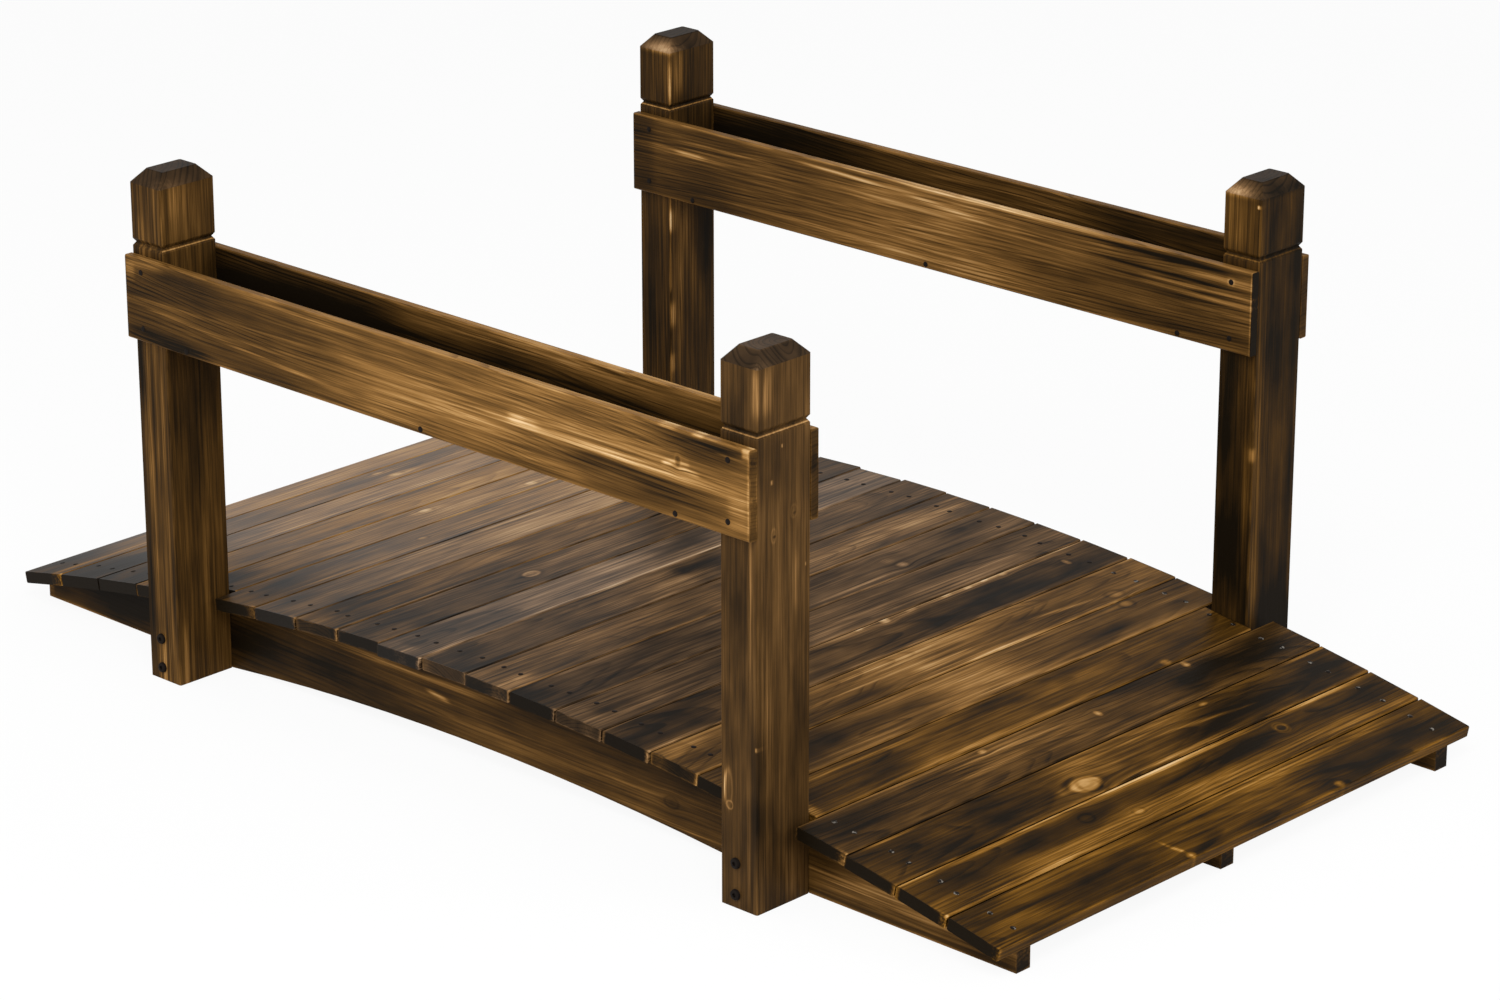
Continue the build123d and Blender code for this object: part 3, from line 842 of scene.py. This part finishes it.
for count, (name, (tone, flank, sawn, pith, knots, streaks)) in enumerate(RAILS.items()):
    centre, half = box_of(name)
    dress(name, torched_fir(
        "rail_" + name, centre, RAIL_TURN, (half.z, half.x, half.y), RAIL_SEED + count, tone,
        knots, streaks, high=0.12, pith=pith, ring_gap=4.6, taper=0.045, patch=0.3, bands=0.16,
        grain=0.36, lines=0.18, wear=0.12, wear_width=1.8, flank=flank, end_tone=sawn,
    ))
RAIL_FLOORS = ("near_rail_floor", "far_rail_floor")
FLOOR_TONE = 0.15
for count, name in enumerate(RAIL_FLOORS):
    centre, half = box_of(name)
    dress(name, torched_fir(
        "rail_" + name, centre, Euler((0, 0, -math.pi / 2)), (half.y, half.x, half.z),
        FLOOR_SEED + count, FLOOR_TONE, wear=0.1, end_tone=0.1,
    ))
print("rails and floors dressed:", len(RAILS) + len(RAIL_FLOORS))

# %% Stringers
STRINGERS = ("near_stringer", "middle_stringer", "far_stringer")
STRINGER_STREAKS = [
    (26, -140, 4, 150, 0.2), (-36, 290, 4, 80, 0.2, -0.05), (-10, 120, 14, 220, 0.08),
    (-30, 620, 14, 150, 0.24), (-15, 600, 25, 130, 0.1), (-10, -300, 20, 140, -0.1),
    (0, -370, 50, 110, -0.07), (0, -650, 40, 120, -0.2), (-25, -752, 20, 6, 0.3),
    (9, -80, 2.5, 17, 0.4, -0.12),
]
STRINGER_TONE = 0.15
STRINGER_KNOTS = {"near_stringer": [(-11, 278, 6, 9, -0.05, 0.06)]}
for count, name in enumerate(STRINGERS):
    centre, half = box_of(name)
    dress(name, torched_fir(
        "stringer_" + name, centre, RAIL_TURN, (half.z, half.x, half.y), STRINGER_SEED + count,
        STRINGER_TONE, STRINGER_KNOTS.get(name, []), STRINGER_STREAKS, low=0.1, high=0, pith=(-120, 0, 20),
        ring_gap=6.0, taper=0.03, bands=0.2, grain=0.22, wear=0.12, end_tone=-0.02,
    ))
print("stringers dressed:", len(STRINGERS))

# %% Posts
# The frame's middle is lifted so that the cap's top lies at the frame's end and the foot does not.
POST_MIDDLE, POST_REACH = 290.0, 310.0
GROOVE_HEIGHT, CAP_RISE = 516.5, 15.0
# Figures: (clouds, bands, grain, ring lines, colour)
STRAIGHT = (0.3, 0.22, 0.38, 0.06, 1.0)
CALM = (0.45, 0.15, 0.3, 0.03, 0.96)
WARM = (0.45, 0.15, 0.3, 0.03, 1.02)
# name: (tone, wear, figure, pith, groove's lip on the front, on the side, painted light and shade on the
# cap's flat,
#        front knots, front streaks, side knots, side streaks)
POSTS = {
    "near_left_post": (
        0.16, 0.06, STRAIGHT, (-60, 0, 70), 0.04, 0.46, -0.02,
        [],
        [(-19, -60, 6, 300, -0.14), (-8, 30, 5, 250, 0.11), (4, 60, 3, 200, 0.1), (14, -60, 3, 220, 0.06),
         (0, -275, 10, 40, 0.2), (14, -190, 7, 70, 0.08), (14, 262, 9, 40, 0.1), (-14, 235, 8, 25, 0.08),
         (14, 60, 8, 90, 0.08), (-16, -15, 8, 70, 0.12), (-16, -190, 8, 40, -0.06),
         (0, -95, 8, 50, -0.06)],
        [],
        [(30, 0, 8, 300, -0.03), (4, -60, 3, 160, 0.05), (-8, 262, 50, 36, 0.08), (-26, 282, 14, 25, 0.1),
         (2, 30, 16, 150, -0.1), (0, -260, 60, 60, 0.09), (16, -20, 6, 70, 0.06),
         (-30, -270, 12, 50, 0.1)],
    ),
    "near_right_post": (
        0.195, 0.03, CALM, (9, 0, -12), 0.44, 0.46, 0.045,
        [(-14.5, -160, 4.5, 18, 0, -0.14), (-13, -178, 3, 4, -0.05, -0.2)],
        [(-18, -159, 2.4, 17, 0.32, 0.06), (24, -108, 1.2, 2.5, 0.6), (2, 0, 12, 60, -0.06),
         (16, 60, 3, 120, 0.14), (-16, -95, 8, 40, -0.12), (2, -75, 9, 40, -0.07), (14, -200, 3, 70, 0.1),
         (0, 230, 30, 40, -0.06), (22, 270, 5, 25, 0.25), (0, -260, 30, 60, -0.06)],
        [(14, 135, 4.5, 6, 0.05, -0.07), (14.5, 133, 1.6, 2.2, -0.12, 0),
         (-15, 116, 3.5, 6.5, 0.04, -0.09), (-14.5, 115, 1.6, 2.4, -0.22, 0)],
        [(0, 190, 34, 30, -0.07), (18, 60, 5, 30, 0.12), (-24, -80, 4, 100, 0.1),
         (-26, 270, 10, 25, 0.14), (8, -255, 20, 30, 0.12), (20, -160, 18, 80, -0.09),
         (0, 90, 40, 60, 0.06), (-34, -275, 8, 60, 0.16), (-18, 173, 1.3, 2.5, 0.5), (-3, 208, 1, 2, 0.3),
         (32, 74, 1, 2, 0.35), (-37, -190, 2, 100, -0.12)],
    ),
    "far_left_post": (
        0.13, 0.22, STRAIGHT, (-60, 0, 30), 0.52, 0.44, -0.07,
        [],
        [(-10, -40, 4, 160, -0.04), (16, 120, 4, 60, 0.08), (10, 303, 30, 10, 0.62),
         (24, 255, 2, 24, 0.12), (25, 84, 1.2, 14, 0.34), (25, -36, 1.2, 16, 0.34),
         (25, -98, 1.2, 12, 0.3)],
        [],
        [(-16, 40, 8, 60, 0.12, 0.12), (0, 30, 8, 60, 0.06, -0.12), (-28, 20, 10, 200, 0.13),
         (14, 60, 14, 80, -0.06), (-24, 270, 12, 30, 0.24), (26, 20, 10, 130, -0.05),
         (-37, 255, 2, 24, 0.12)],
    ),
    "far_right_post": (
        0.09, 0.1, WARM, (-60, 0, 10), 0.22, 0.14, -0.055,
        [],
        [(16, 60, 5, 220, 0.08), (-10, -60, 6, 200, -0.05), (-6, 265, 16, 34, 0.16),
         (-10, 303, 24, 10, 0.5), (22.3, 286, 1.7, 2.2, 0.9), (23, 0, 3, 8, 0.17)],
        [],
        [(-30, -160, 5, 60, 0.12), (-30, 60, 9, 260, 0.09), (-37, 0, 2.5, 8, 0.17),
         (2, 40, 12, 260, -0.02), (28, 0, 10, 320, -0.07), (34, -60, 3, 150, 0.08), (0, 302, 60, 9, -0.1),
         (0, -240, 60, 60, -0.16)],
    ),
}
for count, (name, row) in enumerate(POSTS.items()):
    tone, wear, figure, pith, *lips_and_cap_light, knots, streaks, side_knots, side_streaks = row
    patch, bands, grain, lines, colour = figure
    centre, half = box_of(name)
    dress(name, torched_fir(
        "post_" + name, Vector((centre.x, centre.y, POST_MIDDLE)), POST_TURN, (half.x, POST_REACH, half.y),
        POST_SEED + count, tone, knots, streaks, side_knots, side_streaks, low=0, high=0, pith=pith,
        ring_gap=5.5, patch=patch, bands=bands, grain=grain, lines=lines, colour=colour, wear=wear,
        wear_width=2.2, end_tone=0.12, end_depth=CAP_RISE, depth=9.0, ash=0.15,
        groove=(GROOVE_HEIGHT - POST_MIDDLE, *lips_and_cap_light),
    ))
print("posts dressed:", len(POSTS))

# %% [markdown]
# ## Steel
# Blackened nails and screws hold the boards, over the two outer stringers and along the rails, and two
# bolts hold each post's foot. A head is modelled once, by hand, from a cylinder: the upper rim is
# bevelled, and a bolt gets a sunk socket. Then copies are set out and joined into one piece for each
# job. A head sits a little proud of its face, so it catches the light as the real ones do. On the
# boards near the right end the coat is bare steel in specks, placed to paint in the glints that the
# light makes on those heads.

# %% Material: blackened steel
SPECKS_PER_METRE = 270
# Painted glints: the coat is bare in specks from here to the right end, further left at the far side, on
# the deck alone, where the light catches the heads
GLINTS_FROM, GLINTS_FULLY, GLINTS_SLANT = 0.36, 0.42, 0.3
RAIL_LEVEL, DECK_LEVEL = 0.3, 0.2
COAT, BARE_STEEL = (0.010, 0.0075, 0.006, 1), (0.22, 0.20, 0.17, 1)
steel = bpy.data.materials.new("blackened_steel")
steel.use_nodes = True
tree = steel.node_tree
coords = tree.nodes.new("ShaderNodeTexCoord").outputs["Object"]
speck = noise(tree, stretch(tree, coords, (SPECKS_PER_METRE,) * 3, (0, 0, 0)), 1.0)
x, y, z = split(tree, coords)
glint_end = ease(tree, calc(tree, "MULTIPLY_ADD", y, GLINTS_SLANT, x), GLINTS_FROM, GLINTS_FULLY)
glint_zone = calc(tree, "MULTIPLY", glint_end, ease(tree, z, RAIL_LEVEL, DECK_LEVEL))
# Bare steel specks in this zone paint in the glints: the steel reflects real light, but only here
bare = calc(tree, "MULTIPLY", ease(tree, speck, 0.5, 0.62), glint_zone)
colours = tree.nodes.new("ShaderNodeMix")
colours.data_type = "RGBA"
for label, value in (("Factor_Float", bare), ("A_Color", COAT), ("B_Color", BARE_STEEL)):
    feed(tree, next(s for s in colours.inputs if s.identifier == label), value)
shader = tree.nodes["Principled BSDF"]
mixed = next(s for s in colours.outputs if s.identifier == "Result_Color")
roughness = calc(tree, "MULTIPLY_ADD", speck, 0.3, 0.4)
for label, value in (("Base Color", mixed), ("Metallic", bare), ("Roughness", roughness),
                     ("Specular IOR Level", 0.03)):
    feed(tree, shader.inputs[label], value)
print("steel ready")

# %% Model one nail head and one bolt head
# Width of the bevel, and of the rim round a socket, in shares of the radius
RIM_SHARE = 0.3


def select_upward(piece, least):
    """Select the faces that look up, in edit mode."""
    bpy.ops.object.mode_set(mode="OBJECT")
    for polygon in piece.data.polygons:
        polygon.select = polygon.normal.z > least
    bpy.ops.object.mode_set(mode="EDIT")


def head(name, radius, height, sides, socket=0):
    """A low head: a cylinder with a bevelled upper rim and, if given, a socket sunk into its top face."""
    bpy.ops.object.select_all(action="DESELECT")
    bpy.ops.mesh.primitive_cylinder_add(vertices=sides, radius=radius, depth=height, location=(0, 0, 0))
    piece = bpy.context.object
    piece.name = name
    bpy.ops.object.mode_set(mode="EDIT")
    bpy.ops.mesh.select_mode(type="FACE")
    bpy.ops.mesh.select_all(action="DESELECT")
    select_upward(piece, 0.9)
    bpy.ops.mesh.bevel(offset=radius * RIM_SHARE, segments=2, affect="EDGES")
    if socket:
        select_upward(piece, 0.99)
        bpy.ops.mesh.inset(thickness=radius * RIM_SHARE)
        bpy.ops.mesh.extrude_region_move(TRANSFORM_OT_translate={"value": (0, 0, -socket)})
    bpy.ops.object.mode_set(mode="OBJECT")
    return piece


nail_head = head("nail_head", radius=3.5 * MM, height=1.6 * MM, sides=10)
bolt_head = head("bolt_head", radius=6.0 * MM, height=5.0 * MM, sides=20, socket=2.0 * MM)
print("head faces:", len(nail_head.data.polygons), len(bolt_head.data.polygons))

# %% Set out copies and join them
rng = random.Random(11)
LEAN = 0.1


def set_out(name, model, places, body="root"):
    """Copy a head to every place and direction, each with its own mesh, and join them into one piece."""
    copies = []
    for spot, outward in places:
        copy = bpy.data.objects.new(name, model.data.copy())
        bpy.context.collection.objects.link(copy)
        turn = Vector(outward).to_track_quat("Z", "Y").to_matrix().to_4x4()
        spin = Matrix.Rotation(rng.uniform(0, math.tau), 4, "Z")
        spin = spin @ Matrix.Rotation(rng.uniform(-LEAN, LEAN), 4, "X")
        copy.data.transform(Matrix.Translation(Vector(spot) * MM) @ turn @ spin)
        copies.append(copy)
    bpy.ops.object.select_all(action="DESELECT")
    for copy in copies:
        copy.select_set(True)
    bpy.context.view_layer.objects.active = copies[0]
    bpy.ops.object.join()
    piece = bpy.context.object
    piece.name = name
    piece.data.materials.clear()
    piece.data.materials.append(steel)
    bpy.ops.object.shade_smooth_by_angle(angle=math.radians(40))
    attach(piece, body)
    print(name, "heads", len(places), "faces", len(piece.data.polygons))


print("set_out ready")

# %% Nails, screws and bolts
# Two nails in each board over a stringer, a little sunk
NAIL_ROWS, NAIL_STRAY, NAIL_SINK = (-16, 12), 3, 0.4
for stringer in (STRINGERS[0], STRINGERS[2]):
    places = []
    for name in boards:
        tilt, centre, half = board_frame(name)
        along = Vector((math.cos(tilt), 0, -math.sin(tilt)))
        upward = Vector((math.sin(tilt), 0, math.cos(tilt)))
        for across in NAIL_ROWS:
            offset = across + rng.uniform(-NAIL_STRAY, NAIL_STRAY)
            spot = centre + along * offset + upward * (half[2] - NAIL_SINK)
            spot.y = box_of(stringer)[0].y + rng.uniform(-NAIL_STRAY, NAIL_STRAY)
            places.append((spot, upward))
    set_out(stringer.replace("stringer", "deck_nails"), nail_head, places)
# Two nails at each post and a row of screws into the trough's floor, in every rail board's open face
RAIL_FACES = ((-449, -1), (-349, 1), (349, -1), (449, 1))
POST_NAILS_X, POST_NAILS_Z = (-449, 446), (488, 423)
FLOOR_SCREWS_X, FLOOR_SCREWS_Z = (-376, 0, 373), 413
rail_places = []
for y, outward in RAIL_FACES:
    rail_places += [((x, y, z), (0, outward, 0)) for x in POST_NAILS_X for z in POST_NAILS_Z]
    rail_places += [((x, y, FLOOR_SCREWS_Z), (0, outward, 0)) for x in FLOOR_SCREWS_X]
set_out("rail_nails", nail_head, rail_places)
# Two bolts in each post's foot, a little left of its middle
BOLT_SHIFT, BOLT_FACE, BOLT_HEIGHTS = -4, 439, (15, 50)
bolt_places = []
for side_x in (-1, 1):
    for side_y in (-1, 1):
        spot = (side_x * POST_X + BOLT_SHIFT, side_y * BOLT_FACE)
        bolt_places += [((*spot, z), (0, side_y, 0)) for z in BOLT_HEIGHTS]
set_out("post_bolts", bolt_head, bolt_places)
for model in (nail_head, bolt_head):
    bpy.data.objects.remove(model)

# %% [markdown]
# ## Floor, light and camera
# The bridge stands in a white studio. The floor answers the camera mostly with white of strength 1 and
# a little with its lit surface, so a soft contact shadow stays. Three large soft lamps and an even
# world light the wood at a plain level. The camera looks from the right front corner, 20 degrees up.

# %% Floor
WHITE_SHARE = 0.92


def background_rays(tree):
    """1 for the rays that show a background: those of the camera, of reflections and through glass."""
    rays = tree.nodes.new("ShaderNodeLightPath").outputs
    indirect = calc(tree, "MAXIMUM", rays["Is Glossy Ray"], rays["Is Transmission Ray"])
    return calc(tree, "MAXIMUM", rays["Is Camera Ray"], indirect)


bpy.ops.object.select_all(action="DESELECT")
bpy.ops.mesh.primitive_plane_add(size=60, location=(0, 0, -0.5 * MM))
floor = bpy.context.object
floor.name = "studio_floor"
paper = bpy.data.materials.new("studio_paper")
paper.use_nodes = True
tree = paper.node_tree
shader = tree.nodes["Principled BSDF"]
for label, value in (("Base Color", (0.9, 0.9, 0.9, 1)), ("Roughness", 0.9), ("Specular IOR Level", 0.0)):
    feed(tree, shader.inputs[label], value)
glow = tree.nodes.new("ShaderNodeEmission")
share = calc(tree, "MULTIPLY", background_rays(tree), WHITE_SHARE)
seen = add_node(tree, "ShaderNodeMixShader", (share, shader.outputs[0], glow.outputs[0]))[0]
feed(tree, tree.nodes["Material Output"].inputs["Surface"], seen)
floor.data.materials.append(paper)
print("floor ready")

# %% World and lamps
scene = bpy.context.scene
world = bpy.data.worlds.new("white_studio")
scene.world = world
world.use_nodes = True
tree = world.node_tree
background = tree.nodes["Background"]
feed(tree, background.inputs["Color"], (1, 1, 1, 1))
# The world is white to look at, and lights the bridge at half that strength
feed(tree, background.inputs["Strength"], calc(tree, "MULTIPLY_ADD", background_rays(tree), 0.5, 0.5))


def lamp(name, place, aim, size, power):
    """A square soft lamp that faces a point."""
    data = bpy.data.lights.new(name, "AREA")
    data.size, data.energy = size, power
    item = bpy.data.objects.new(name, data)
    item.location = place
    item.rotation_euler = (Vector(aim) - Vector(place)).to_track_quat("-Z", "Y").to_euler()
    scene.collection.objects.link(item)


lamp("key_lamp", place=(2.2, -2.6, 3.4), aim=(0, 0, 0.2), size=2.4, power=130)
lamp("side_lamp", place=(3.6, 1.2, 1.8), aim=(0, 0, 0.25), size=2.0, power=45)
lamp("front_lamp", place=(-1.6, -3.6, 1.6), aim=(0, 0, 0.25), size=2.0, power=45)

# %% Camera
camera_data = bpy.data.cameras.new("photo_camera")
camera_data.sensor_width, camera_data.lens = 36.0, 118.317
camera_data.clip_end = 200
camera = bpy.data.objects.new("photo_camera", camera_data)
camera.location = (3.60983, -3.75334, 2.11775)
camera.rotation_euler = (1.220447, 0.000623, 0.758658)
scene.collection.objects.link(camera)
scene.camera = camera
scene.view_settings.view_transform = "Standard"
print("camera at", [round(v, 3) for v in camera.location])
